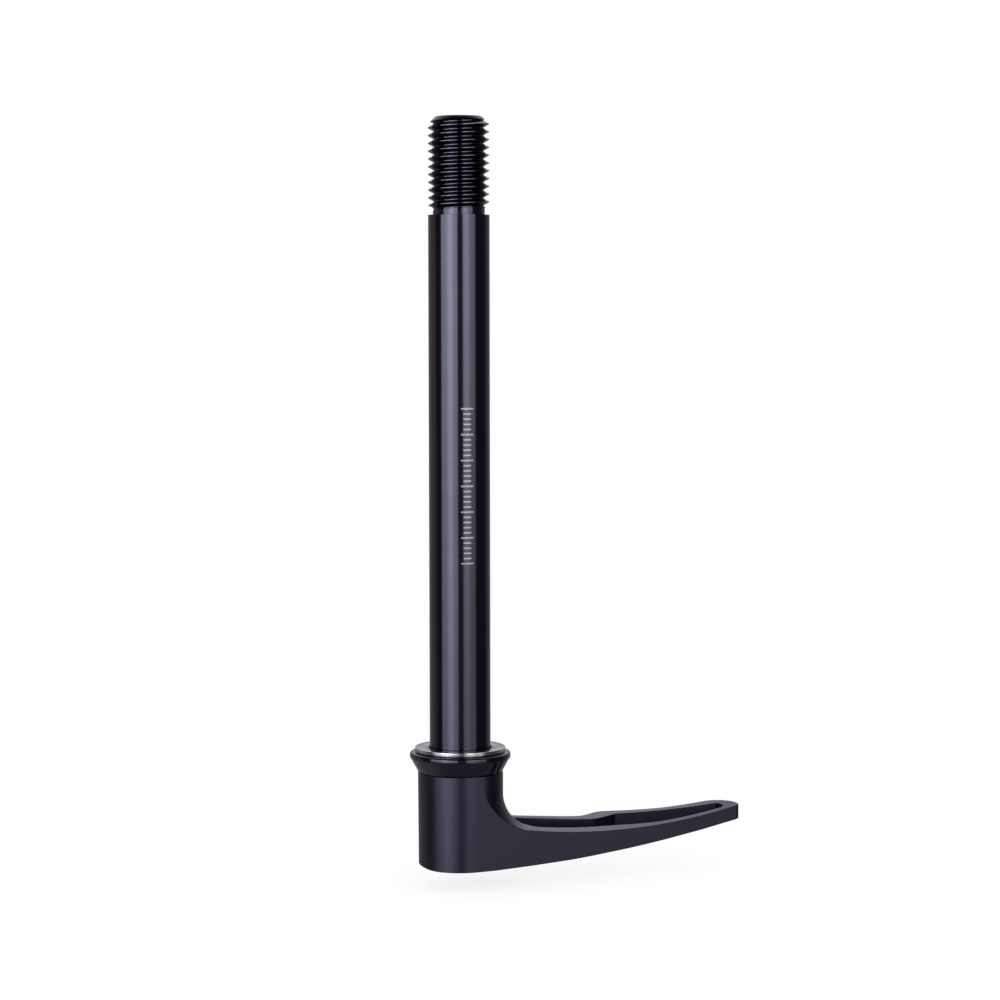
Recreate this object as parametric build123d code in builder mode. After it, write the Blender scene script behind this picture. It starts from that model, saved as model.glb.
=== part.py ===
"""Thru axle for a bicycle wheel, with a lever that is pulled out to set its angle.

The seat face of the loose washer is z = 0. The shaft runs up to the threaded tip
and the lever's hub hangs below. The arm of the lever points along +X.
All dimensions are in millimetres.
"""

import os

from build123d import *

os.makedirs("parts", exist_ok=True)

# Shaft and thread, sizes as sold: 12 mm shaft, 123 mm long, M12 x 1.5, 19 mm thread
shaft_d = 11.95
shaft_length = 123.0
thread_d = 11.9
thread_length = 19.0
relief_d = 10.1
relief_width = 1.35
tip_face_d = 9.0
foot_groove_d = 11.5
core_bore_d = 6.0
core_bore_floor = 12.0

# Flange that presses on the washer
washer_d = 17.7
washer_bore_d = 12.45
washer_thickness = 0.95
flange_d = 19.8
flange_height = 3.8
flange_rim = 0.9
flange_neck_d = 16.7

# Toothed head and guide stub below the flange
tooth_count = 24
tooth_height = 0.75
tooth_root_d = 10.9
tooth_length = 3.7
tooth_gap = 0.1
guide_d = 8.0
guide_gap = 0.05
screw_d = 5.0

# Lever
hub_d = 16.86
outline_d = 16.45
hub_height = 18.85
hub_gap = 0.15
arm_reach = 59.1
arm_rise = 3.0
arm_tip_thickness = 3.45
rail_slope = 0.12
slope_start = 3.6
flare_radius = 7.5
chamber_d = 13.0
ledge_thickness = 2.1

# Return parts inside the hub
slip_washer_thickness = 0.5
slip_washer_d = 12.0
spring_wire_d = 1.0
spring_mean_d = 10.4
spring_turns = 4.5
spring_length = 8.0
retainer_thickness = 0.9
retainer_d = 11.8
screw_head_d = 8.5
screw_head_height = 2.6
screw_length = 12.0
socket_size = 4.0

# Heights that follow from the sizes above
flange_top = -washer_thickness
flange_foot = flange_top - flange_height
tooth_foot = flange_foot - tooth_length
hub_top = flange_foot - hub_gap
hub_foot = hub_top - hub_height
ledge_top = tooth_foot - 0.25
ledge_foot = ledge_top - ledge_thickness
slip_foot = ledge_foot - slip_washer_thickness
stub_foot = slip_foot - spring_length
retainer_foot = stub_foot - retainer_thickness
shoulder = shaft_length - thread_length

# Axle: one turned bar from the tip to the stub that carries the lever
with BuildPart() as axle:
    with BuildSketch(Plane.XZ) as bar:
        with BuildLine():
            Polyline(
                (0, stub_foot),
                (guide_d / 2 - 0.3, stub_foot),
                (guide_d / 2, stub_foot + 0.3),
                (guide_d / 2, tooth_foot),
                (tooth_root_d / 2, tooth_foot),
                (tooth_root_d / 2, flange_foot),
                (flange_neck_d / 2, flange_foot),
                (flange_d / 2 - 0.3, flange_top - 0.57 - flange_rim),
                (flange_d / 2, flange_top - 0.1 - flange_rim),
                (flange_d / 2, flange_top - 0.5),
                (flange_d / 2 - 0.15, flange_top - 0.15),
                (flange_d / 2 - 0.5, flange_top),
                (foot_groove_d / 2, flange_top),
                (foot_groove_d / 2, 0.1),
                (shaft_d / 2, 0.1 + (shaft_d - foot_groove_d) / 2),
                (shaft_d / 2, shoulder),
                (relief_d / 2, shoulder),
                (relief_d / 2, shoulder + relief_width),
                (thread_d / 2, shoulder + relief_width + (thread_d - relief_d) / 4),
                (thread_d / 2, shaft_length - (thread_d - tip_face_d) / 2),
                (tip_face_d / 2, shaft_length),
                (0, shaft_length),
                close=True,
            )
        make_face()
    revolve(axis=Axis.Z)
    # teeth round the head
    with BuildSketch(Plane.XY.offset(tooth_foot)):
        half_root = tooth_root_d * 0.042
        half_tip = tooth_root_d * 0.024
        with PolarLocations(0, tooth_count):
            Polygon(
                (tooth_root_d / 2 - 0.4, -half_root),
                (tooth_root_d / 2 + tooth_height, -half_tip),
                (tooth_root_d / 2 + tooth_height, half_tip),
                (tooth_root_d / 2 - 0.4, half_root),
                align=None,
            )
    extrude(amount=tooth_length)
    # blind bore from the tip saves weight
    with BuildSketch(Plane.XZ):
        with BuildLine():
            Polyline(
                (0, core_bore_floor - core_bore_d * 0.3),
                (core_bore_d / 2, core_bore_floor),
                (core_bore_d / 2, shaft_length - 0.4),
                (core_bore_d / 2 + 0.8, shaft_length + 0.4),
                (0, shaft_length + 0.4),
                close=True,
            )
        make_face()
    revolve(axis=Axis.Z, mode=Mode.SUBTRACT)
    # tapped hole for the retaining screw
    with BuildSketch(Plane.XZ):
        with BuildLine():
            Polyline(
                (0, stub_foot + screw_length + screw_d * 0.55),
                (screw_d / 2 + 0.05, stub_foot + screw_length + 0.8),
                (screw_d / 2 + 0.05, stub_foot - 1),
                (0, stub_foot - 1),
                close=True,
            )
        make_face()
    revolve(axis=Axis.Z, mode=Mode.SUBTRACT)
axle.part.label = "axle"
export_step(axle.part, "parts/axle.step")

# Seat washer: loose on the shaft, lying on the flange
with BuildPart() as seat_washer:
    with BuildSketch(Plane.XZ):
        with BuildLine():
            Polyline(
                (washer_bore_d / 2, flange_top),
                (washer_d / 2 - 0.1, flange_top),
                (washer_d / 2, flange_top + 0.1),
                (washer_d / 2, -0.12),
                (washer_d / 2 - 0.12, 0),
                (washer_bore_d / 2 + 0.1, 0),
                (washer_bore_d / 2, -0.1),
                close=True,
            )
        make_face()
    revolve(axis=Axis.Z)
seat_washer.part.label = "seat_washer"
export_step(seat_washer.part, "parts/seat_washer.step")

# Lever: hub and looped arm in one forging
front = -outline_d / 2
rear = outline_d / 2
hub_r = hub_d / 2
arm_low = hub_foot + 6.5
tip_top = arm_low + arm_rise
with BuildPart() as lever:
    # side view of the arm, dished on top and swept up underneath
    with BuildSketch(Plane.XZ):
        with BuildLine():
            ThreePointArc(
                (2, arm_low + 3.25),
                (arm_reach * 0.532, arm_low),
                (arm_reach + 1, tip_top + 0.2),
            )
            Polyline(
                (arm_reach + 1, tip_top + 0.2),
                (arm_reach + 1, tip_top + 0.2 - arm_tip_thickness),
            )
            ThreePointArc(
                (arm_reach + 1, tip_top + 0.2 - arm_tip_thickness),
                (arm_reach * 0.532, hub_foot + 1.8),
                (4, hub_foot),
            )
            Polyline((4, hub_foot), (0, hub_foot), (0, arm_low + 3.25), (2, arm_low + 3.25))
        make_face()
    extrude(amount=hub_d, both=True)
    # the front rail's top falls towards its outer edge
    with BuildSketch(Plane.XZ.offset(slope_start)):
        with BuildLine():
            ThreePointArc(
                (2, arm_low + 3.25),
                (arm_reach * 0.532, arm_low),
                (arm_reach + 1, tip_top + 0.2),
            )
            Polyline(
                (arm_reach + 1, tip_top + 0.2),
                (arm_reach + 1, hub_top),
                (2, hub_top),
                (2, arm_low + 3.25),
            )
        make_face()
    extrude(amount=hub_d, dir=(0, -1, -rail_slope), mode=Mode.SUBTRACT)
    # round hub with a flare that runs down on to the arm
    with BuildSketch(Plane.XZ):
        flare_r = hub_r + flare_radius
        flare_top = arm_low + 0.55 + flare_radius
        with BuildLine():
            Polyline((0, hub_foot), (0, hub_top), (hub_r, hub_top), (hub_r, flare_top))
            RadiusArc((hub_r, flare_top), (flare_r, flare_top - flare_radius), -flare_radius)
            Polyline(
                (flare_r, flare_top - flare_radius),
                (flare_r, arm_low - 1),
                (hub_r, arm_low - 1),
                (hub_r, hub_foot),
                (0, hub_foot),
            )
        make_face()
    revolve(axis=Axis.Z)
    # plan: round hub end, straight front, pinched and bulged rear, narrow tip
    with BuildSketch(Plane.XY.offset(hub_foot - 1)) as plan:
        with BuildLine():
            ThreePointArc((0, rear), (front - 0.06, 0), (0, front))
            Polyline(
                (0, front),
                (arm_reach, front),
                (arm_reach - 0.5, front + 2.8),
                (arm_reach * 0.945, -0.8),
                (arm_reach * 0.786, 2.8),
                (arm_reach * 0.595, 9.0),
                (arm_reach * 0.5025, 6.0),
                (arm_reach * 0.358, rear),
                (0, rear),
            )
        make_face()
        fillet(plan.vertices().sort_by_distance((arm_reach, front))[0], 1.0)
        fillet(plan.vertices().sort_by_distance((arm_reach - 0.5, front + 2.8))[0], 3.0)
        fillet(plan.vertices().sort_by_distance((arm_reach * 0.945, -0.8))[0], 3.0)
        fillet(plan.vertices().sort_by_distance((arm_reach * 0.786, 2.8))[0], 20.0)
        fillet(plan.vertices().sort_by_distance((arm_reach * 0.595, 9.0))[0], 3.0)
        fillet(plan.vertices().sort_by_distance((arm_reach * 0.5025, 6.0))[0], 4.0)
        fillet(plan.vertices().sort_by_distance((arm_reach * 0.358, rear))[0], 15.0)
    extrude(amount=hub_height + 2, mode=Mode.INTERSECT)
    # finger slot through the arm
    with BuildSketch(Plane.XY.offset(hub_foot - 1)) as slot:
        with BuildLine():
            Polyline(
                (12.2, front + 3.2),
                (arm_reach * 0.537, front + 3.2),
                (arm_reach * 0.69, front + 1.8),
                (arm_reach - 2.7, front + 1.5),
                (arm_reach - 3.3, -4.4),
                (arm_reach * 0.777, 0.4),
                (arm_reach * 0.6245, 4.5),
                (arm_reach * 0.5205, 1.7),
                (arm_reach * 0.34, 5.0),
                (12.2, 5.0),
                close=True,
            )
        make_face()
        fillet(slot.vertices().sort_by_distance((12.2, front + 3.2))[0], 3.0)
        fillet(slot.vertices().sort_by_distance((12.2, 5.0))[0], 3.0)
        fillet(slot.vertices().sort_by_distance((arm_reach * 0.537, front + 3.2))[0], 20.0)
        fillet(slot.vertices().sort_by_distance((arm_reach * 0.69, front + 1.8))[0], 20.0)
        fillet(slot.vertices().sort_by_distance((arm_reach - 2.7, front + 1.5))[0], 1.1)
        fillet(slot.vertices().sort_by_distance((arm_reach - 3.3, -4.4))[0], 1.0)
        fillet(slot.vertices().sort_by_distance((arm_reach * 0.777, 0.4))[0], 20.0)
        fillet(slot.vertices().sort_by_distance((arm_reach * 0.6245, 4.5))[0], 0.8)
        fillet(slot.vertices().sort_by_distance((arm_reach * 0.5205, 1.7))[0], 4.0)
        fillet(slot.vertices().sort_by_distance((arm_reach * 0.34, 5.0))[0], 15.0)
    extrude(amount=hub_height + 2, mode=Mode.SUBTRACT)
    # stepped bore: spring chamber, guide ledge and toothed socket
    with BuildSketch(Plane.XZ):
        socket_r = tooth_root_d / 2 + tooth_gap
        with BuildLine():
            Polyline(
                (0, hub_foot - 1),
                (chamber_d / 2, hub_foot - 1),
                (chamber_d / 2, ledge_foot),
                (guide_d / 2 + guide_gap, ledge_foot),
                (guide_d / 2 + guide_gap, ledge_top),
                (socket_r, ledge_top),
                (socket_r, hub_top + 1),
                (0, hub_top + 1),
                close=True,
            )
        make_face()
    revolve(axis=Axis.Z, mode=Mode.SUBTRACT)
    with BuildSketch(Plane.XY.offset(ledge_top)):
        with PolarLocations(0, tooth_count):
            Polygon(
                (tooth_root_d / 2 - 0.4, -half_root - tooth_gap),
                (tooth_root_d / 2 + tooth_height + tooth_gap, -half_tip - tooth_gap),
                (tooth_root_d / 2 + tooth_height + tooth_gap, half_tip + tooth_gap),
                (tooth_root_d / 2 - 0.4, half_root + tooth_gap),
                align=None,
            )
    extrude(amount=hub_top - ledge_top + 1, mode=Mode.SUBTRACT)
lever.part.label = "lever"
export_step(lever.part, "parts/lever.step")

# Slip washer: the lever turns on it while the spring pushes it up
with BuildPart() as slip_washer:
    with BuildSketch(Plane.XY.offset(slip_foot)):
        Circle(slip_washer_d / 2)
        Circle(guide_d / 2 + guide_gap, mode=Mode.SUBTRACT)
    extrude(amount=slip_washer_thickness)
slip_washer.part.label = "slip_washer"
export_step(slip_washer.part, "parts/slip_washer.step")

# Return spring: one coil between the retainer and the slip washer
with BuildPart() as return_spring:
    wire_height = spring_wire_d * 0.866
    coil_height = spring_length - wire_height - 0.04
    coil_foot = stub_foot + wire_height / 2 + 0.02
    with BuildLine() as coil:
        Helix(
            pitch=coil_height / spring_turns,
            height=coil_height,
            radius=spring_mean_d / 2,
            center=(0, 0, coil_foot),
        )
    with BuildSketch(Plane(coil.line @ 0, x_dir=(1, 0, 0), z_dir=coil.line % 0)):
        RegularPolygon(spring_wire_d / 2, 6, major_radius=True)
    sweep(path=coil.line, is_frenet=True)
return_spring.part.label = "return_spring"
export_step(return_spring.part, "parts/return_spring.step")

# Retainer: stiff washer clamped on the stub's end, which the spring stands on
with BuildPart() as retainer:
    with BuildSketch(Plane.XY.offset(retainer_foot)):
        Circle(retainer_d / 2)
        Circle(screw_d / 2 + 0.25, mode=Mode.SUBTRACT)
    extrude(amount=retainer_thickness)
retainer.part.label = "retainer"
export_step(retainer.part, "parts/retainer.step")

# Retaining screw with a hexagon socket, reached from under the hub
with BuildPart() as retaining_screw:
    with BuildSketch(Plane.XY.offset(retainer_foot - screw_head_height)):
        Circle(screw_head_d / 2)
    extrude(amount=screw_head_height)
    with BuildSketch(Plane.XY.offset(retainer_foot)):
        Circle(screw_d / 2)
    extrude(amount=retainer_thickness + screw_length)
    with BuildSketch(Plane.XY.offset(retainer_foot - screw_head_height)):
        RegularPolygon(socket_size / 2, 6, major_radius=False)
    extrude(amount=screw_head_height * 0.6, mode=Mode.SUBTRACT)
retaining_screw.part.label = "retaining_screw"
export_step(retaining_screw.part, "parts/retaining_screw.step")
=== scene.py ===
import math

import bmesh
import bpy
from mathutils import Matrix, Vector


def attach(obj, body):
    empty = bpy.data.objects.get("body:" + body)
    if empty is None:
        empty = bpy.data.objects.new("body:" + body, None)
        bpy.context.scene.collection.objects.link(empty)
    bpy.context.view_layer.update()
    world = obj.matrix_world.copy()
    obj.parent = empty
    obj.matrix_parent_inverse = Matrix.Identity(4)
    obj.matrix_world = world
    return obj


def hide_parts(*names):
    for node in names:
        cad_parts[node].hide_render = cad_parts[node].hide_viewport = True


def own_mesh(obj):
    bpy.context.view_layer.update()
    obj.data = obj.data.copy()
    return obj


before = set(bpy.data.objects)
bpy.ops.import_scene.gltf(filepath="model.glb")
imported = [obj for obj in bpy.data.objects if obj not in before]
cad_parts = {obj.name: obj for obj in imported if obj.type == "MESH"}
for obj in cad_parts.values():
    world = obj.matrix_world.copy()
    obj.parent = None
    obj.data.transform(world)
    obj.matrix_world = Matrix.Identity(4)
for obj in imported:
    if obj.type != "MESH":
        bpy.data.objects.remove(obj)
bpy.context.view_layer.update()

# Axle. One bar of aluminium alloy, turned from the threaded tip down to the toothed head and the
# stub that carries the lever. The right-hand thread is cut last, then the bar is anodised black
# and a plain scale of fine lines is etched on the shaft.
mm = 0.001
shaft_radius = 5.975
shoulder = 104.0
tip = 123.0
thread_radius = 5.95
thread_root = 4.86
thread_start = 105.8
thread_end = 121.55
thread_pitch = 1.5
root_flat = 0.12
relief_radius = 5.05
tip_bore = 3.0
flange_radius = 9.9
flange_top = -0.95
flange_foot = -4.75
tooth_tip = 6.2
tooth_root = 5.45
tooth_step = math.radians(15)
tooth_half_width = math.radians(2.6)
tooth_foot = -8.45
stub_radius = 4.0
stub_foot = -19.3
screw_hole = 2.55


def turned(name, profile, sides=144):
    """Lathe work: a ring is drawn along the axis and opened or closed to each width in turn."""
    bpy.ops.object.select_all(action="DESELECT")
    width, level = profile[0]
    bpy.ops.mesh.primitive_circle_add(vertices=sides, radius=width * mm, location=(0, 0, level * mm))
    piece = bpy.context.object
    piece.name = name
    bpy.ops.object.transform_apply(location=True)
    bpy.ops.object.mode_set(mode="EDIT")
    bpy.ops.mesh.select_all(action="SELECT")
    for next_width, next_level in profile[1:]:
        climb = (0, 0, (next_level - level) * mm)
        bpy.ops.mesh.extrude_edges_move(TRANSFORM_OT_translate={"value": climb})
        grow = next_width / width
        bpy.ops.transform.resize(value=(grow, grow, 1), center_override=(0, 0, next_level * mm))
        width, level = next_width, next_level
    close_up()
    return piece


def close_up():
    """Joins seams, fills open ends, turns the faces outwards and leaves edit mode."""
    bpy.ops.mesh.select_all(action="SELECT")
    bpy.ops.mesh.remove_doubles(threshold=1e-6)
    bpy.ops.mesh.fill_holes(sides=0)
    bpy.ops.mesh.select_all(action="SELECT")
    bpy.ops.mesh.normals_make_consistent(inside=False)
    bpy.ops.object.mode_set(mode="OBJECT")


def finish_shape(piece, angle=35):
    """Smooth shading over curves, with crisp corners and flat faces that stay flat beside them."""
    bpy.ops.object.select_all(action="DESELECT")
    bpy.context.view_layer.objects.active = piece
    piece.select_set(True)
    bpy.ops.object.shade_smooth_by_angle(angle=math.radians(angle))
    flat = piece.modifiers.new("flat", "WEIGHTED_NORMAL")
    flat.mode = "FACE_AREA"
    flat.weight = 100
    flat.keep_sharp = True
    bpy.ops.object.modifier_apply(modifier=flat.name)


def cut_away(piece, cutter):
    """Takes the cutter's shape out of the piece and throws the cutter away."""
    bpy.ops.object.select_all(action="DESELECT")
    bpy.context.view_layer.objects.active = piece
    piece.select_set(True)
    cut = piece.modifiers.new("cut", "BOOLEAN")
    cut.operation = "DIFFERENCE"
    cut.solver = "EXACT"
    cut.object = cutter
    bpy.ops.object.modifier_apply(modifier=cut.name)
    bpy.data.objects.remove(cutter)


def place_piece(piece, body, node, material):
    """Gives a finished piece its material, its body and the solid that it stands for."""
    piece.data.materials.clear()
    piece.data.materials.append(material)
    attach(piece, body)
    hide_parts(node)


axle = turned("axle_bar", [
    (0.3, -5.0), (screw_hole, -6.4), (screw_hole, -19.0), (2.8, stub_foot), (3.7, stub_foot),
    (stub_radius, -19.0), (stub_radius, tooth_foot), (tooth_root, tooth_foot), (tooth_root, flange_foot),
    (8.2, flange_foot), (8.31, -4.72), (8.38, -4.62), (9.6, -2.42), (9.76, -2.2), (9.86, -2.04),
    (flange_radius, -1.9), (flange_radius, -1.42), (9.87, -1.25), (9.78, -1.1), (9.63, -1.0),
    (9.42, flange_top), (shaft_radius, flange_top), (shaft_radius, 20.0), (shaft_radius, 40.0),
    (shaft_radius, 60.0), (shaft_radius, 80.0), (shaft_radius, shoulder - 0.05), (5.96, shoulder - 0.015),
    (5.925, shoulder), (relief_radius, shoulder), (relief_radius, 105.35), (thread_radius, thread_start),
    (thread_radius, thread_end), (4.6, 122.9), (4.45, 122.98), (4.3, tip), (3.5, tip), (3.4, 122.95),
    (tip_bore, 122.55), (tip_bore, 12.0), (0.3, 10.4),
])

# the teeth: a narrow stretch of the head's ring every 15 degrees is drawn outwards
slack = 0.01
bpy.ops.object.mode_set(mode="EDIT")
bpy.ops.mesh.select_mode(type="VERT")
bpy.ops.mesh.select_all(action="DESELECT")
head = bmesh.from_edit_mesh(axle.data)
for point in head.verts:
    turn = math.atan2(point.co.y, point.co.x)
    from_tooth = abs(turn - tooth_step * round(turn / tooth_step))
    on_head = (tooth_foot - slack) * mm < point.co.z < (flange_foot + slack) * mm
    at_root = abs(point.co.xy.length - tooth_root * mm) < slack * mm
    point.select_set(on_head and at_root and from_tooth < tooth_half_width)
bmesh.update_edit_mesh(axle.data)
rise = tooth_tip / tooth_root
bpy.ops.transform.resize(value=(rise, rise, 1), center_override=(0, 0, 0))
bpy.ops.object.mode_set(mode="OBJECT")

# the thread's groove: a slice as wide as the gap between two crests, wound up the tip
groove_start = 104.8
groove_turn = math.radians(101)
groove_turns = 14
cutter_rim = 5.99
half_angle = math.radians(30)
steps_round = 72
slice_size = cutter_rim - thread_root
slice_middle = (thread_root + cutter_rim) / 2 * mm
rim_width = root_flat + 2 * slice_size * math.tan(half_angle)
bpy.ops.object.select_all(action="DESELECT")
bpy.ops.mesh.primitive_plane_add(
    size=slice_size * mm,
    location=(slice_middle, 0, groove_start * mm),
    rotation=(math.pi / 2, 0, 0),
)
groove = bpy.context.object
bpy.ops.object.transform_apply(location=True, rotation=True)
bpy.ops.object.mode_set(mode="EDIT")
for side, width in ((-1, root_flat), (1, rim_width)):
    bpy.ops.mesh.select_all(action="DESELECT")
    slice_edge = bmesh.from_edit_mesh(groove.data)
    for point in slice_edge.verts:
        point.select_set((point.co.x - slice_middle) * side > 0)
    bmesh.update_edit_mesh(groove.data)
    bpy.ops.transform.resize(value=(1, 1, width / slice_size), center_override=(0, 0, groove_start * mm))
bpy.ops.mesh.select_all(action="SELECT")
bpy.ops.mesh.delete(type="ONLY_FACE")
bpy.ops.object.mode_set(mode="OBJECT")
winding = groove.modifiers.new("winding", "SCREW")
winding.axis = "Z"
winding.angle = 2 * math.pi
winding.screw_offset = thread_pitch * mm
winding.iterations = groove_turns
winding.steps = winding.render_steps = steps_round
bpy.ops.object.modifier_apply(modifier=winding.name)
groove.rotation_euler.z = groove_turn
bpy.ops.object.transform_apply(rotation=True)
bpy.ops.object.mode_set(mode="EDIT")
close_up()
cut_away(axle, groove)
finish_shape(axle)


class Flow:
    """A value on its way through a finish's nodes. Sums on it add their own Math nodes."""

    def __init__(self, tree, socket=None):
        self.tree = tree
        self.socket = socket

    def node(self, kind, settings=None, inputs=None, output=0):
        step = self.tree.nodes.new("ShaderNode" + kind)
        for name, value in (settings or {}).items():
            setattr(step, name, value)
        for name, value in (inputs or {}).items():
            if isinstance(value, Flow):
                self.tree.links.new(value.socket, step.inputs[name])
            else:
                step.inputs[name].default_value = value
        return Flow(self.tree, step.outputs[output])

    def out(self, name):
        return Flow(self.tree, self.socket.node.outputs[name])

    def into(self, socket):
        self.tree.links.new(self.socket, socket)

    def sum_of(self, operation, first, second=0.0):
        return self.node("Math", {"operation": operation}, {0: first, 1: second})

    def __add__(self, other):
        return self.sum_of("ADD", self, other)

    def __sub__(self, other):
        return self.sum_of("SUBTRACT", self, other)

    def __rsub__(self, other):
        return self.sum_of("SUBTRACT", other, self)

    def __mul__(self, other):
        return self.sum_of("MULTIPLY", self, other)

    def __truediv__(self, other):
        return self.sum_of("DIVIDE", self, other)

    def __lt__(self, other):
        return self.sum_of("LESS_THAN", self, other)

    def __gt__(self, other):
        return self.sum_of("GREATER_THAN", self, other)

    def __abs__(self):
        return self.sum_of("ABSOLUTE", self)

    __radd__ = __add__
    __rmul__ = __mul__


def new_finish(name, metallic, roughness):
    """A material with its shader and the start of its nodes, on Object coordinates."""
    material = bpy.data.materials.new(name)
    material.use_nodes = True
    shader = material.node_tree.nodes["Principled BSDF"]
    shader.inputs["Metallic"].default_value = metallic
    shader.inputs["Roughness"].default_value = roughness
    place = Flow(material.node_tree).node("TexCoord", output="Object")
    return material, shader.inputs, place


def specks(place, spacing, size, share):
    """Fine dust and pin-pricks: small round dots in a share of the cells of a loose grid."""
    cells = place.node("TexVoronoi", {}, {"Vector": place, "Scale": 1 / (spacing * mm)}, "Distance")
    tint = place.node("SeparateColor", {}, {0: cells.out("Color")})
    return (cells < size / spacing) * (tint > 1 - share)


def blend_colour(fade, first, second):
    return fade.node("Mix", {"data_type": "RGBA"}, {0: fade, 6: first, 7: second}, 2)


anodise_dark = (0.081, 0.0775, 0.11, 1)
anodise_light = (0.106, 0.102, 0.14, 1)
bare_crest = (0.16, 0.155, 0.18, 1)
brown_shaded_tip = (0.05, 0.024, 0.03, 1)
etched_grey = (0.62, 0.62, 0.66, 1)
thread_foot = 105.6
crest_inside = 5.88
chamfer_sum = 127.3
axle_finish, sockets, place = new_finish("black_anodised_bar", 1.0, 0.2)
spread = place.node("SeparateXYZ", {}, {0: place})
x, y, z = spread.out("X"), spread.out("Y"), spread.out("Z")
angle = place.node("Math", {"operation": "ARCTAN2"}, {0: y, 1: x})
radius = place.node("Math", {"operation": "SQRT"}, {0: x * x + y * y})
cloud = place.node("TexNoise", {}, {"Vector": place, "Scale": 260.0, "Detail": 4.0})
grain = place.node("TexNoise", {}, {"Vector": place, "Scale": 5200.0, "Detail": 2.0})
lathe_place = place.node("CombineXYZ", {}, {0: angle * 0.8, 1: radius * 4000.0, 2: z * 9000.0})
lathe_lines = place.node("TexNoise", {}, {"Vector": lathe_place, "Scale": 1.0, "Detail": 2.0})
on_thread = z > thread_foot * mm
crest = (radius > crest_inside * mm) * on_thread
dust = specks(place, 1.3, 0.05, 0.1)
colour = blend_colour(cloud * 0.7 + grain * 0.3, anodise_dark, anodise_light)
colour = blend_colour(crest * (0.3 + 0.6 * cloud), colour, bare_crest)
on_chamfer = radius + z > chamfer_sum * mm
# painted shade: the chamfer at the tip is coloured a darker brown, a brown tone that also darkens it as
# shade
colour = blend_colour(on_chamfer * (0.5 + 0.4 * cloud), colour, brown_shaded_tip)
colour = blend_colour(dust * 0.35, colour, etched_grey)
# the scale: a line every millimetre and a longer one every fifth
scale_foot = 36.6
scale_lines = 31
scale_turn = math.radians(-100)
line_width = 0.3
line_reach = 0.75
fifth_reach = 0.5
skin_inside = 5.9
step = (z - (scale_foot - 0.5) * mm) / mm
line = place.node("Math", {"operation": "FLOOR"}, {0: step})
across = abs(place.node("Math", {"operation": "FRACT"}, {0: step}) - 0.5) < line_width / 2
fifth = place.node("Math", {"operation": "MODULO"}, {0: line + 0.5, 1: 5.0}) < 1.0
reach = line_reach * mm + fifth * (fifth_reach * mm)
along = abs((angle - scale_turn) * (shaft_radius * mm)) < reach
on_scale = (step > 0.0) * (step < float(scale_lines))
etched = across * along * on_scale * (radius > skin_inside * mm)
colour = blend_colour(etched * (0.75 + 0.3 * grain), colour, etched_grey)
colour.into(sockets["Base Color"])
(0.09 + 0.03 * cloud + 0.04 * lathe_lines + 0.3 * etched + 0.25 * dust).into(sockets["Roughness"])
relief = place.node("Bump", {}, {
    "Strength": 0.1, "Distance": 0.01 * mm,
    "Height": (lathe_lines * 0.6 + grain * 0.3) * (1 - on_thread) - etched * 0.6,
})
relief.into(sockets["Normal"])
place_piece(axle, "axle", "axle", axle_finish)

# Seat washer. A loose ring of bare steel between the flange and the frame, turned from bar and
# left uncoated. It has a bright worn rim and a duller, stained top.
washer_bore = 6.225
washer_rim = 8.85
washer_foot = -0.95
worn_depth = 0.1
washer = turned("seat_washer_ring", [
    (washer_bore, -0.1), (washer_bore + 0.03, -0.03), (washer_bore + 0.1, 0), (7.5, 0), (8.73, 0),
    (8.8, -0.02), (8.84, -0.06), (washer_rim, -0.12), (washer_rim, -0.74), (8.83, -0.81),
    (8.68, washer_foot), (washer_bore + 0.1, washer_foot), (washer_bore, -0.85), (washer_bore, -0.1),
])
finish_shape(washer)
steel_light = (0.48, 0.45, 0.5, 1)
steel_dull = (0.3, 0.28, 0.32, 1)
steel_stain = (0.2, 0.19, 0.2, 1)
steel_worn = (0.88, 0.82, 0.83, 1)
washer_finish, sockets, place = new_finish("bare_turned_steel", 1.0, 0.3)
spread = place.node("SeparateXYZ", {}, {0: place})
x, y, z = spread.out("X"), spread.out("Y"), spread.out("Z")
angle = place.node("Math", {"operation": "ARCTAN2"}, {0: y, 1: x})
radius = place.node("Math", {"operation": "SQRT"}, {0: x * x + y * y})
cloud = place.node("TexNoise", {}, {"Vector": place, "Scale": 700.0, "Detail": 5.0, "Roughness": 0.65})
ring_place = place.node("CombineXYZ", {}, {0: angle * 0.5, 1: radius * 11000.0, 2: z * 6000.0})
rings = place.node("TexNoise", {}, {"Vector": ring_place, "Scale": 1.0, "Detail": 2.0})
stains = specks(place, 0.55, 0.12, 0.3)
shear_place = place.node("CombineXYZ", {}, {0: angle * 28.0, 1: radius * 200.0, 2: z * 500.0})
shear_marks = place.node("TexNoise", {}, {"Vector": shear_place, "Scale": 1.0, "Detail": 3.0})
patches = place.node("MapRange", {}, {0: cloud, 1: 0.42, 2: 0.66, 3: 0.0, 4: 1.0})
worn = radius > (washer_rim - worn_depth) * mm
colour = blend_colour(patches * 0.8 + rings * 0.2, steel_light, steel_dull)
colour = blend_colour(worn * (1 - 0.6 * patches) * (0.4 + 0.9 * shear_marks), colour, steel_worn)
colour = blend_colour(stains * 0.7, colour, steel_stain)
colour.into(sockets["Base Color"])
(0.12 + 0.1 * patches + 0.06 * rings + 0.2 * stains).into(sockets["Roughness"])
relief = place.node("Bump", {}, {
    "Strength": 0.6, "Distance": 0.02 * mm,
    "Height": rings * 0.12 + cloud * 0.1 - stains * 0.1 + worn * shear_marks,
})
relief.into(sockets["Normal"])
place_piece(washer, "axle", "seat_washer", washer_finish)

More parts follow.
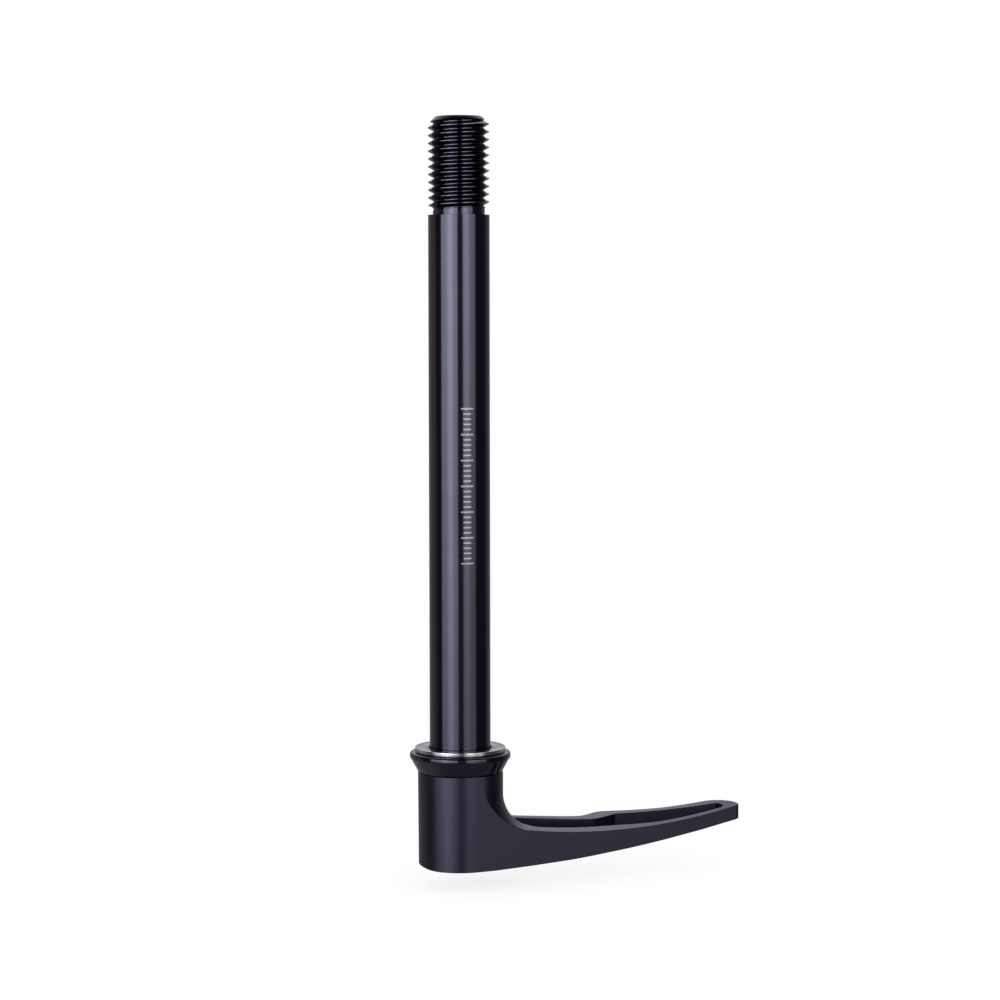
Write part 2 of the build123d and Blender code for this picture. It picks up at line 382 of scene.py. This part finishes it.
# Lever. Hub and looped arm forged in one piece of aluminium, machined at the hub, blasted with fine
# beads and anodised matt black. Its outer edges are broken by tumbling, so they are slightly rounded.
edge_round = 0.15
mouth_round = 0.2
lever_foot = -23.75
hub_top = -4.9
bore_clear = 7.2
bpy.ops.object.select_all(action="DESELECT")
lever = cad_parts["lever"].copy()
lever.data = lever.data.copy()
lever.name = "lever_forging"
lever.parent = None
for mark in list(lever.keys()):
    del lever[mark]
bpy.context.scene.collection.objects.link(lever)
bpy.context.view_layer.objects.active = lever
lever.select_set(True)
bpy.ops.mesh.customdata_custom_splitnormals_clear()
bpy.ops.object.mode_set(mode="EDIT")
bpy.ops.mesh.select_mode(type="EDGE")
bpy.ops.mesh.select_all(action="SELECT")
bpy.ops.mesh.remove_doubles(threshold=2e-6)
bpy.ops.mesh.dissolve_limited(angle_limit=math.radians(0.8))

# the forging is dressed: the flat on the front of the hub narrows towards the top, the hub's round
# end tapers, and the foot is ground back a little and eased at the heel
arm_start = 15
front_slack = 0.003
flat_edge = 8.386
flat_reach = 8.45
flat_foot = -7.5
tail_top = -9
tail_foot = -9.3
hub_inside = 8
taper = 0.1
taper_top = 0.035
foot_band = 0.35
foot_ground = 0.1
heel_rise = 0.5
heel_start = 4.5
heel_end = 8.4
to_heel = Vector((-0.956, 0.292))
shell = bmesh.from_edit_mesh(lever.data)
front = min(point.co.y for point in shell.verts if point.co.x > arm_start * mm)
flat_corners = set()
for point in shell.verts:
    reach = point.co.xy.length / mm
    x, y, z = point.co / mm
    on_front = point.co.y < front + front_slack * mm
    if on_front and 1 < x and reach < flat_reach and z > tail_foot:
        point.co.xy = math.sqrt(reach ** 2 - flat_edge ** 2) * mm, -flat_edge * mm
        if z < tail_top:
            point.co.z = max(point.co.z, flat_foot * mm)
        flat_corners.add(point)
    elif x < 0.01 and reach > hub_inside:
        drop = (hub_top - z) / (hub_top - lever_foot)
        point.co.xy *= 1 + (taper * drop - taper_top) * x / reach ** 2
    if z < lever_foot + foot_band:
        towards = max(to_heel.dot((x, y)) - heel_start, 0) / (heel_end - heel_start)
        point.co.z += (foot_ground + heel_rise * towards ** 3) * mm
shell.normal_update()

# each sharp edge is marked with the size of its rounding
sharp_angle = math.radians(30)
hub_rim = 8.5
arm_root = 3.5
foot_edge = -23
mouth_inside = 6.4
mouth_outside = 6.6
corner_rise = 0.2
edge_size = shell.edges.layers.float.new("bevel_weight_edge")
for edge in shell.edges:
    near, far = sorted(point.co.xy.length / mm for point in edge.verts)
    low, high = sorted(point.co.z / mm for point in edge.verts)
    across = (edge.verts[0].co.x + edge.verts[1].co.x) / 2 / mm
    size = 0
    under_arm = far < hub_rim and across > arm_root and low < foot_edge
    if near > bore_clear and not under_arm:
        size = edge_round
    elif mouth_inside < near and far < mouth_outside and low < foot_edge:
        size = mouth_round
    if len(edge.link_faces) == 2 and edge.calc_face_angle() > sharp_angle:
        edge[edge_size] = size / mouth_round
    if flat_corners.issuperset(edge.verts) and low < high - corner_rise:
        edge.smooth = False
bmesh.update_edit_mesh(lever.data)
bpy.ops.object.mode_set(mode="OBJECT")
rounding = lever.modifiers.new("rounding", "BEVEL")
rounding.limit_method = "WEIGHT"
rounding.width = mouth_round * mm
rounding.segments = 3
rounding.use_clamp_overlap = False
bpy.ops.object.modifier_apply(modifier=rounding.name)
finish_shape(lever, 32)

# the slot's rear wall from its bend to the outer end is left as punched and rougher, and painted darker as
# shade in the slot, most at its end
slot_front = -7.4
slot_bend = 35.5
slot_end = 54
slot_rear = ((11, 6.6), (20.5, 6.6), (30.2, 3.9), (36, 6.7), (46.2, 1.6), (55.8, -2.6), (57.6, -4.6))
rough_shaded_wall = lever.data.attributes.new("rough_shaded_wall", "FLOAT", "FACE")
for face in lever.data.polygons:
    x, y, z = face.center / mm
    inside = False
    for (left, left_rear), (right, right_rear) in zip(slot_rear, slot_rear[1:]):
        if left <= x < right:
            rear = left_rear + (right_rear - left_rear) * (x - left) / (right - left)
            inside = slot_front < y < rear
    depth = 1.0 if x < slot_end else 2.0
    faces_in = face.normal.y < 0 or face.normal.x < -0.3
    upright = abs(face.normal.z) < 0.5
    rough_shaded_wall.data[face.index].value = depth * (inside and slot_bend < x and faces_in and upright)
blast_dark = (0.064, 0.0595, 0.091, 1)
blast_light = (0.08, 0.0745, 0.113, 1)
painted_slot_shade = (0.012, 0.011, 0.015, 1)
dust_grey = (0.4, 0.4, 0.42, 1)
lever_finish, sockets, place = new_finish("bead_blasted_black", 1.0, 0.42)
cloud = place.node("TexNoise", {}, {"Vector": place, "Scale": 180.0, "Detail": 4.0})
beads = place.node("TexNoise", {}, {"Vector": place, "Scale": 7000.0, "Detail": 2.0})
dents = place.node("TexVoronoi", {"feature": "SMOOTH_F1"}, {"Vector": place, "Scale": 5200.0}, "Distance")
dust = specks(place, 1.5, 0.07, 0.14)
colour = blend_colour(cloud * 0.5 + beads * 0.5, blast_dark, blast_light)
wall = place.node("Attribute", {"attribute_name": "rough_shaded_wall"}, output="Fac")
# painted shade: the slot's rear wall is darkened, twice as much at the slot's end
colour = blend_colour(wall * 0.3, colour, painted_slot_shade)
colour = blend_colour(dust * 0.5, colour, dust_grey)
colour.into(sockets["Base Color"])
(0.28 + 0.04 * cloud + 0.05 * beads + 0.1 * dust + 0.3 * wall).into(sockets["Roughness"])
relief = place.node("Bump", {}, {
    "Strength": 0.35, "Distance": 0.02 * mm, "Height": beads * 0.5 + dents * 0.7,
})
relief.into(sockets["Normal"])
place_piece(lever, "lever", "lever", lever_finish)

# Slip washer. A thin stamped steel ring under the ledge in the hub, which the lever turns on
# while the spring pushes it up.
slip_top = -10.8
slip_foot = -11.3
slip_bore = 4.05
slip_rim = 6.0
slip = turned("slip_washer_ring", [
    (slip_bore, slip_foot + 0.08), (4.13, slip_foot), (5.9, slip_foot), (5.98, slip_foot + 0.04),
    (slip_rim, slip_foot + 0.12), (slip_rim, slip_top - 0.06), (5.94, slip_top), (4.11, slip_top),
    (slip_bore, slip_top - 0.06), (slip_bore, slip_foot + 0.08),
], 96)
finish_shape(slip)


def plain_steel(name, light, dull, roughness):
    """Bright steel that stays inside the hub: soft patches and fine rubbed grain."""
    material, sockets, place = new_finish(name, 1.0, roughness)
    cloud = place.node("TexNoise", {}, {"Vector": place, "Scale": 500.0, "Detail": 4.0})
    rub = place.node("TexNoise", {}, {"Vector": place, "Scale": 4000.0, "Detail": 2.0})
    blend_colour(cloud * 0.7 + rub * 0.3, light, dull).into(sockets["Base Color"])
    (roughness - 0.06 + 0.1 * cloud + 0.06 * rub).into(sockets["Roughness"])
    relief = place.node("Bump", {}, {"Strength": 0.2, "Distance": 0.01 * mm, "Height": rub})
    relief.into(sockets["Normal"])
    return material


slip_finish = plain_steel("stamped_steel", (0.6, 0.59, 0.6, 1), (0.42, 0.41, 0.42, 1), 0.3)
place_piece(slip, "slip_ring", "slip_washer", slip_finish)

# Return spring. Round spring wire wound in four and a half turns, standing on the retainer and
# pushing the slip washer up. It is drawn at its rest length; the real one shortens as the lever is pulled.
wire = 1.0
coil_radius = 5.2
coil_turns = 4.5
steps_a_turn = 56
spring_length = 8.0
coil_foot = stub_foot + wire / 2
coil_rise = spring_length - wire
bpy.ops.object.select_all(action="DESELECT")
bpy.ops.mesh.primitive_circle_add(
    vertices=14,
    radius=wire / 2 * mm,
    location=(coil_radius * mm, 0, coil_foot * mm),
    rotation=(math.pi / 2, 0, 0),
)
spring = bpy.context.object
spring.name = "return_spring_coil"
bpy.ops.object.transform_apply(location=True, rotation=True)
winding = spring.modifiers.new("winding", "SCREW")
winding.axis = "Z"
winding.angle = 2 * math.pi * coil_turns
winding.screw_offset = coil_rise * mm
winding.steps = winding.render_steps = int(steps_a_turn * coil_turns)
bpy.ops.object.modifier_apply(modifier=winding.name)
bpy.ops.object.mode_set(mode="EDIT")
close_up()
finish_shape(spring)
spring_finish = plain_steel("drawn_spring_wire", (0.5, 0.5, 0.52, 1), (0.36, 0.35, 0.36, 1), 0.26)
place_piece(spring, "axle", "return_spring", spring_finish)
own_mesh(spring)

# Retainer. A stiff washer, stamped from steel and zinc plated. The screw clamps it on the end of the
# stub, and the spring stands on it.
retainer_foot = -20.2
retainer_bore = 2.75
retainer_rim = 5.9
retainer = turned("retainer_washer", [
    (retainer_bore, retainer_foot + 0.15), (2.9, retainer_foot), (5.7, retainer_foot),
    (5.84, retainer_foot + 0.06), (retainer_rim, retainer_foot + 0.2), (retainer_rim, stub_foot - 0.1),
    (5.8, stub_foot), (2.85, stub_foot), (retainer_bore, stub_foot - 0.1),
    (retainer_bore, retainer_foot + 0.15),
], 96)
finish_shape(retainer)
retainer_finish = plain_steel("plated_washer", (0.58, 0.57, 0.56, 1), (0.44, 0.43, 0.42, 1), 0.34)
place_piece(retainer, "axle", "retainer", retainer_finish)

# Retaining screw. A socket screw in black oxide, driven up into the stub from under the hub, with a
# rounded head and a hexagon socket.
head_foot = -22.8
head_radius = 4.25
shank_radius = 2.5
shank_top = -7.3
socket_across = 4.0
socket_depth = 1.56
drill_point = 0.3
drill_taper = 0.3
screw = turned("retaining_screw_body", [
    (0.2, head_foot), (3.6, head_foot), (3.9, head_foot + 0.05), (4.15, head_foot + 0.2),
    (head_radius, head_foot + 0.45), (head_radius, retainer_foot - 0.1), (4.15, retainer_foot),
    (shank_radius, retainer_foot), (shank_radius, -7.6), (2.1, shank_top), (0.2, shank_top),
], 96)
bpy.ops.object.select_all(action="DESELECT")
bpy.ops.mesh.primitive_cylinder_add(
    vertices=6,
    radius=socket_across / math.sqrt(3) * mm,
    depth=2 * socket_depth * mm,
    location=(0, 0, head_foot * mm),
)
hexagon = bpy.context.object
bpy.ops.object.transform_apply(location=True)
bpy.ops.object.mode_set(mode="EDIT")
bpy.ops.mesh.select_mode(type="FACE")
bpy.ops.mesh.select_all(action="DESELECT")
drill = bmesh.from_edit_mesh(hexagon.data)
for face in drill.faces:
    face.select_set(face.normal.z > 0.9)
bmesh.update_edit_mesh(hexagon.data)
bpy.ops.mesh.inset(thickness=drill_point * mm)
bpy.ops.mesh.extrude_region_move(TRANSFORM_OT_translate={"value": (0, 0, drill_point * mm)})
bpy.ops.transform.resize(value=(drill_taper, drill_taper, 1))
bpy.ops.mesh.select_mode(type="VERT")
close_up()
cut_away(screw, hexagon)
finish_shape(screw)
screw_finish = plain_steel("black_oxide", (0.075, 0.075, 0.08, 1), (0.045, 0.045, 0.05, 1), 0.36)
place_piece(screw, "axle", "retaining_screw", screw_finish)

# Floor. A small pale table top, just below the lever's lowest reach. It fades into the white
# ground towards its rim and keeps the shadow under the object. From below it is clear.
table_top = -27.8
table_reach = 0.16
table_middle = 0.015
fade_start = 0.06
fade_end = 0.15
table_grey = (0.42, 0.42, 0.42, 1)
table_glow = 0.8
bpy.ops.object.select_all(action="DESELECT")
bpy.ops.mesh.primitive_circle_add(
    vertices=96,
    radius=table_reach,
    fill_type="NGON",
    location=(table_middle, 0, table_top * mm),
)
table = bpy.context.object
table.name = "table_top"
bpy.ops.object.transform_apply(location=True)
table_paint = bpy.data.materials.new("pale_table")
table_paint.use_nodes = True
tree = table_paint.node_tree
tree.nodes.clear()
start = Flow(tree)
ray = start.node("LightPath", output="Is Camera Ray")
place = start.node("TexCoord", output="Object")
spread = start.node("SeparateXYZ", {}, {0: place})
x, y = spread.out("X") - table_middle, spread.out("Y")
from_middle = start.node("Math", {"operation": "SQRT"}, {0: x * x + y * y})
fade = start.node("MapRange", {"interpolation_type": "SMOOTHSTEP"},
                  {0: from_middle, 1: fade_start, 2: fade_end, 3: 0.0, 4: 1.0})
matt = start.node("BsdfDiffuse", {}, {0: table_grey})
glow = start.node("Emission", {}, {0: (1, 1, 1, 1), 1: table_glow})
white = start.node("Emission", {}, {0: (1, 1, 1, 1), 1: 1.0})
lit = start.node("AddShader", {}, {0: matt, 1: glow})
pale = start.node("MixShader", {}, {0: fade, 1: lit, 2: white})
seen = start.node("MixShader", {}, {0: ray, 1: matt, 2: pale})
clear = start.node("BsdfTransparent")
back = start.node("NewGeometry", output="Backfacing")
shown = start.node("MixShader", {}, {0: back, 1: seen, 2: clear})
ground = tree.nodes.new("ShaderNodeOutputMaterial")
shown.into(ground.inputs["Surface"])
table.data.materials.append(table_paint)
table.visible_glossy = False

# Light. Two tall soft boxes stand left and right of the camera with a dark gap between them. Each has a
# brighter streak where its tube hangs and dims towards its foot. In reflections the room is dark, with a
# warm dim wall to the left, a grey table, and pale ground and a white screen behind the object.
view_turn = math.radians(-24.75)
box_away = 0.75
box_foot = -0.31
box_head = 0.34


def heading(turn):
    """A level direction from the axle, turned from the camera's side to the camera's right."""
    return Vector((math.sin(view_turn + turn), -math.cos(view_turn + turn), 0))


def soft_box(name, first, last, streak, streak_width, streak_gain, streak_foot, glow, dimming, tint):
    """A box that fills the view from one angle to another, in degrees to the camera's right. Its streak
    starts at a height and is full at another. Its dimming is two heights, each with the share of light."""
    middle = math.radians((first + last) / 2)
    wide = 2 * box_away * math.tan(math.radians((last - first) / 2))
    tall = box_head - box_foot
    lamp = bpy.data.lights.new(name, "AREA")
    lamp.shape = "RECTANGLE"
    lamp.size = wide
    lamp.size_y = tall
    lamp.energy = glow * math.pi * wide * tall
    lamp.color = tint
    lamp.use_nodes = True
    tree = lamp.node_tree
    tree.nodes.clear()
    start = Flow(tree)
    across = start.node("NewGeometry", output="Parametric")
    spread = start.node("SeparateXYZ", {}, {0: across})
    streak_place = 0.5 + box_away * math.tan(math.radians(streak) - middle) / wide
    from_streak = (spread.out("X") - streak_place) / (box_away * math.radians(streak_width) / wide)
    core = start.node("Math", {"operation": "POWER"}, {0: math.e, 1: from_streak * from_streak * -1.0})
    height = spread.out("Y") * tall + box_foot
    low, low_share, high, high_share = dimming
    rise = start.node("MapRange", {}, {0: height, 1: low, 2: high, 3: low_share, 4: high_share})
    dim, full = streak_foot
    gain = start.node("MapRange", {}, {0: height, 1: dim, 2: full, 3: 0.0, 4: streak_gain})
    shine = start.node("Emission", {}, {0: (1, 1, 1, 1), 1: (1 + core * gain) * rise})
    shine.into(tree.nodes.new("ShaderNodeOutputLight").inputs["Surface"])
    holder = bpy.data.objects.new(name, lamp)
    middle_height = Vector((0, 0, (box_foot + box_head) / 2))
    holder.location = heading(middle) * box_away + middle_height
    holder.rotation_euler = (-heading(middle)).to_track_quat("-Z", "Y").to_euler()
    holder.visible_camera = False
    bpy.context.scene.collection.objects.link(holder)


soft_box(
    "soft_box_left", first=-70, last=-6, streak=-34, streak_width=12, streak_gain=0.91,
    streak_foot=(-0.4, -0.3), glow=1.75, dimming=(-0.31, 0.1, 0.163, 1.0), tint=(0.98, 0.99, 1.0),
)
soft_box(
    "soft_box_right", first=13.5, last=62.2, streak=27.5, streak_width=12.5, streak_gain=1.24,
    streak_foot=(-0.186, -0.057), glow=1.05, dimming=(-0.057, 0.44, 0.163, 1.0), tint=(1.0, 0.985, 0.96),
)

room = bpy.data.worlds.new("white_room")
bpy.context.scene.world = room
room.use_nodes = True
tree = room.node_tree
tree.nodes.clear()
start = Flow(tree)
path = start.node("LightPath", output="Is Camera Ray")
glossy = path.out("Is Glossy Ray")
direct = start.sum_of("MAXIMUM", path, path.out("Is Transmission Ray"))
way = start.node("TexCoord", output="Generated")
spread = start.node("SeparateXYZ", {}, {0: way})


def patch(direction, edge, full, curve="SMOOTHSTEP"):
    """A soft patch of the room round one direction, from its edge's to its full nearness."""
    nearness = start.node("VectorMath", {"operation": "DOT_PRODUCT"}, {0: way, 1: direction}, "Value")
    return start.node("MapRange", {"interpolation_type": curve},
                      {0: nearness, 1: edge, 2: full, 3: 0.0, 4: 1.0})


room_dark = (0.05, 0.044, 0.055, 1)
room_front = (0.09, 0.085, 0.1, 1)
wall_warm = (0.27, 0.2, 0.18, 1)
table_dim = (0.13, 0.125, 0.14, 1)
table_lit = (0.25, 0.24, 0.25, 1)
ground_pale = (0.28, 0.275, 0.285, 1)
screen_white = (0.92, 0.91, 0.95, 1)
ambient = (0.45, 0.45, 0.45, 1)
white_sky = (1, 1, 1, 1)
overhead = Vector((0, 0, 1))
left_wall = heading(math.radians(-122))
front_gap = heading(math.radians(4))
table_left = (heading(math.radians(-135)) - overhead * 0.8).normalized()
ground_behind = heading(math.radians(171))
screen = (heading(math.pi) + overhead * math.tan(math.radians(40))).normalized()
lift = start.node("MapRange", {}, {0: spread.out("Z"), 1: -0.2, 2: -0.05, 3: 0.15, 4: 1.0})
mirrored = blend_colour(patch(left_wall, 0.84, 0.985) * lift, room_dark, wall_warm)
mirrored = blend_colour(patch(front_gap, 0.955, 0.99), mirrored, room_front)
mirrored = blend_colour(patch(-overhead, 0.26, 0.77), mirrored, table_dim)
mirrored = blend_colour(patch(table_left, 0.6, 0.95), mirrored, table_lit)
mirrored = blend_colour(patch(ground_behind, 0.45, 1.0, "LINEAR"), mirrored, ground_pale)
mirrored = blend_colour(patch(screen, 0.78, 0.985), mirrored, screen_white)
around = blend_colour(glossy, ambient, mirrored)
sky_colour = blend_colour(direct, around, white_sky)
sky = start.node("Background", {}, {0: sky_colour, 1: 1.0})
air = tree.nodes.new("ShaderNodeOutputWorld")
sky.into(air.inputs["Surface"])

# Camera. A long lens about half a metre off, level with the upper part of the shaft and looking slightly
# down. Distances are in metres, angles in radians and the focal length in pixels of the 1000 pixel picture.
photo_pixels = 1000
focal_pixels = 2821.5
camera_away = 0.55
camera_height = 0.08833
look_down = 0.07224
look_right = 0.01437
roll = 0.00153
sensor = 36
lens = bpy.data.cameras.new("long_lens")
lens.sensor_width = sensor
lens.lens = sensor * focal_pixels / photo_pixels
lens.clip_start = 0.01
camera = bpy.data.objects.new("camera", lens)
to_side = Matrix.Rotation(view_turn, 4, "Z")
turned_view = Matrix.Rotation(-look_right, 4, "Z") @ Matrix.Rotation(math.pi / 2 - look_down, 4, "X")
tilted = turned_view @ Matrix.Rotation(-roll, 4, "Z")
camera.matrix_world = to_side @ Matrix.Translation((0, -camera_away, camera_height)) @ tilted
bpy.context.scene.collection.objects.link(camera)
bpy.context.scene.camera = camera
bpy.context.scene.view_settings.view_transform = "Standard"
